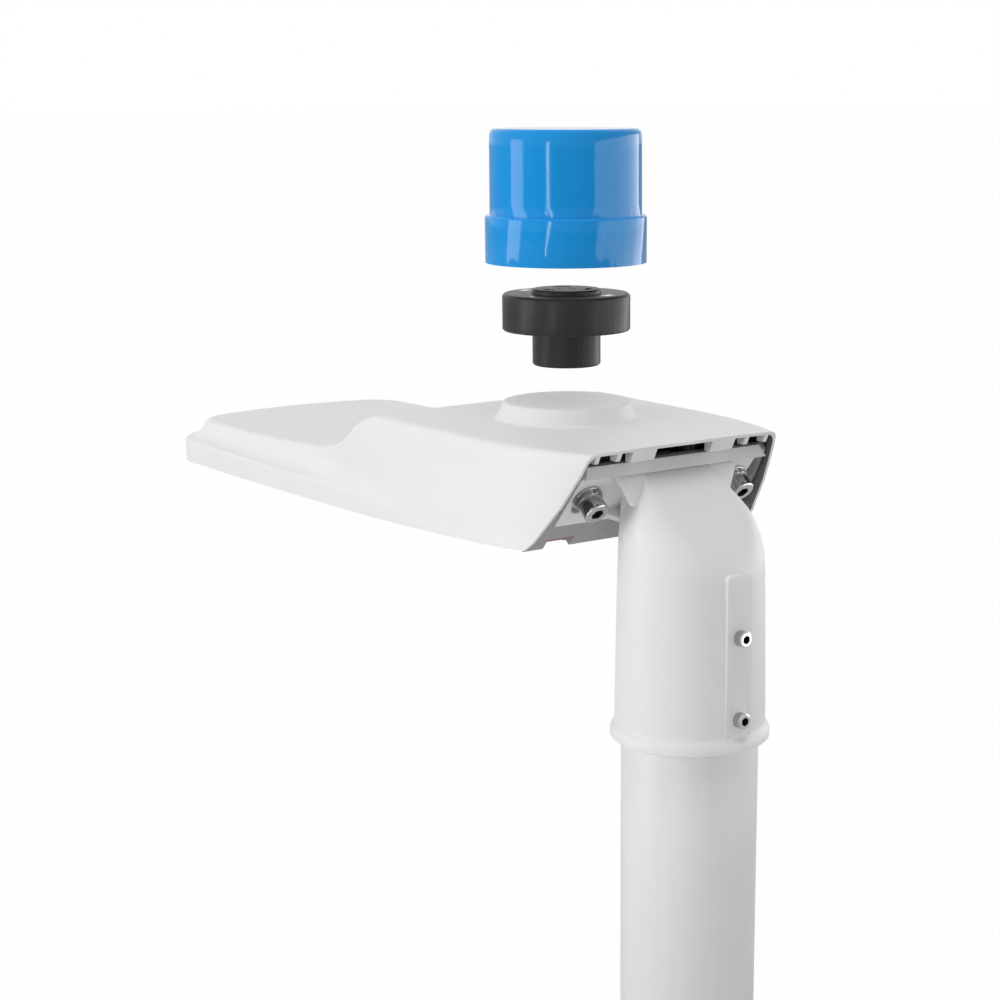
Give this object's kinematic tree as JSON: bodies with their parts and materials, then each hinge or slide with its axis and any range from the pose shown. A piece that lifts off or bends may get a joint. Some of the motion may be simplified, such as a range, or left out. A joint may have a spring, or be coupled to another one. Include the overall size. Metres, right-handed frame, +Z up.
{
  "type": "led street light",
  "caption": "LED street light head on a slip-fitter elbow and a stub of round pole, with its twist-lock light sensor and socket lifted off the dome on the roof.",
  "frame": {"origin": "centre of the pole stub's lower end, on the pole's axis", "axes": "+Z up along the pole, the head's tip towards -X, the head symmetric about the XZ plane"},
  "size_m": [0.4652, 0.173, 0.449],
  "materials": {
    "cover_paint": "satin light grey powder coat on a die-cast cover",
    "frame_paint": "satin light grey powder coat on the lower casting and the door",
    "adapter_paint": "satin light grey powder coat",
    "pole_steel": "smooth grey paint over galvanised steel",
    "bright_steel": "polished stainless steel",
    "dark_steel": "dark zinc plating",
    "zinc_sheet": "plain galvanised sheet",
    "sensor_blue": "smooth blue polycarbonate",
    "socket_black": "satin black moulding",
    "rubber_black": "soft black rubber",
    "silicone_red": "red-brown silicone sponge",
    "brass_contact": "bare brass",
    "board_white": "white solder mask",
    "board_green": "green solder mask",
    "led_phosphor": "yellow phosphor on a white chip",
    "lens_clear": "clear polycarbonate",
    "thermal_grey": "soft grey pad",
    "gear_white": "white plastic case",
    "gear_black": "black plastic case"
  },
  "bodies": {
    "pole": {"pole": "pole_steel"},
    "head": {"adapter": "adapter_paint", "set_screws": "bright_steel", "flange_bolts": "bright_steel", "flat_washers": "bright_steel", "spring_washers": "dark_steel", "top_cover": "cover_paint", "base_frame": "frame_paint", "cover_gasket": "silicone_red", "cover_screws": "bright_steel", "thermal_pad": "thermal_grey", "led_board": "board_white", "leds": "led_phosphor", "board_screws": "bright_steel", "lens_array": "lens_clear", "lens_gasket": "rubber_black", "gear_plate": "zinc_sheet", "gear_screws": "bright_steel", "driver": "gear_white", "driver_screws": "bright_steel", "surge_protector": "gear_black", "terminal_block": "gear_white", "terminal_screws": "bright_steel", "cable_clamp": "gear_black", "grommet": "rubber_black", "hinge_pins": "bright_steel"},
    "door": {"driver_door": "frame_paint", "door_gasket": "silicone_red"},
    "latch": {"door_latch": "bright_steel"},
    "socket": {"socket_ring": "socket_black", "dimming_pads": "bright_steel"},
    "disc": {"socket_disc": "socket_black", "socket_contacts": "brass_contact"},
    "sensor": {"cap_housing": "sensor_blue", "cap_base": "socket_black", "cap_gasket": "rubber_black", "cap_blades": "brass_contact", "cap_board": "board_green", "cap_relay": "gear_white", "light_sensor": "lens_clear"}
  },
  "joints": [
    {"name": "aim_on_pole", "type": "hinge", "parent": "pole", "child": "head", "pos_m": [0, 0, 0.19], "axis": [0, 0, 1], "continuous": true},
    {"name": "door_hinge", "type": "hinge", "parent": "head", "child": "door", "pos_m": [-0.195, 0, 0.2514], "axis": [0, 1, 0], "range_deg": [0, 95]},
    {"name": "latch_turn", "type": "hinge", "parent": "door", "child": "latch", "pos_m": [-0.0725, 0, 0.248], "axis": [0, 0, 1], "range_deg": [0, 90]},
    {"name": "socket_lift", "type": "slide", "parent": "head", "child": "socket", "axis": [0, 0, 1], "range_m": [-0.0185, 0]},
    {"name": "socket_turn", "type": "hinge", "parent": "socket", "child": "disc", "pos_m": [-0.10435, 0, 0.358], "axis": [0, 0, 1], "range_deg": [-170, 170]},
    {"name": "sensor_lift", "type": "slide", "parent": "disc", "child": "sensor", "axis": [0, 0, 1], "range_m": [-0.0155, 0]}
  ]
}
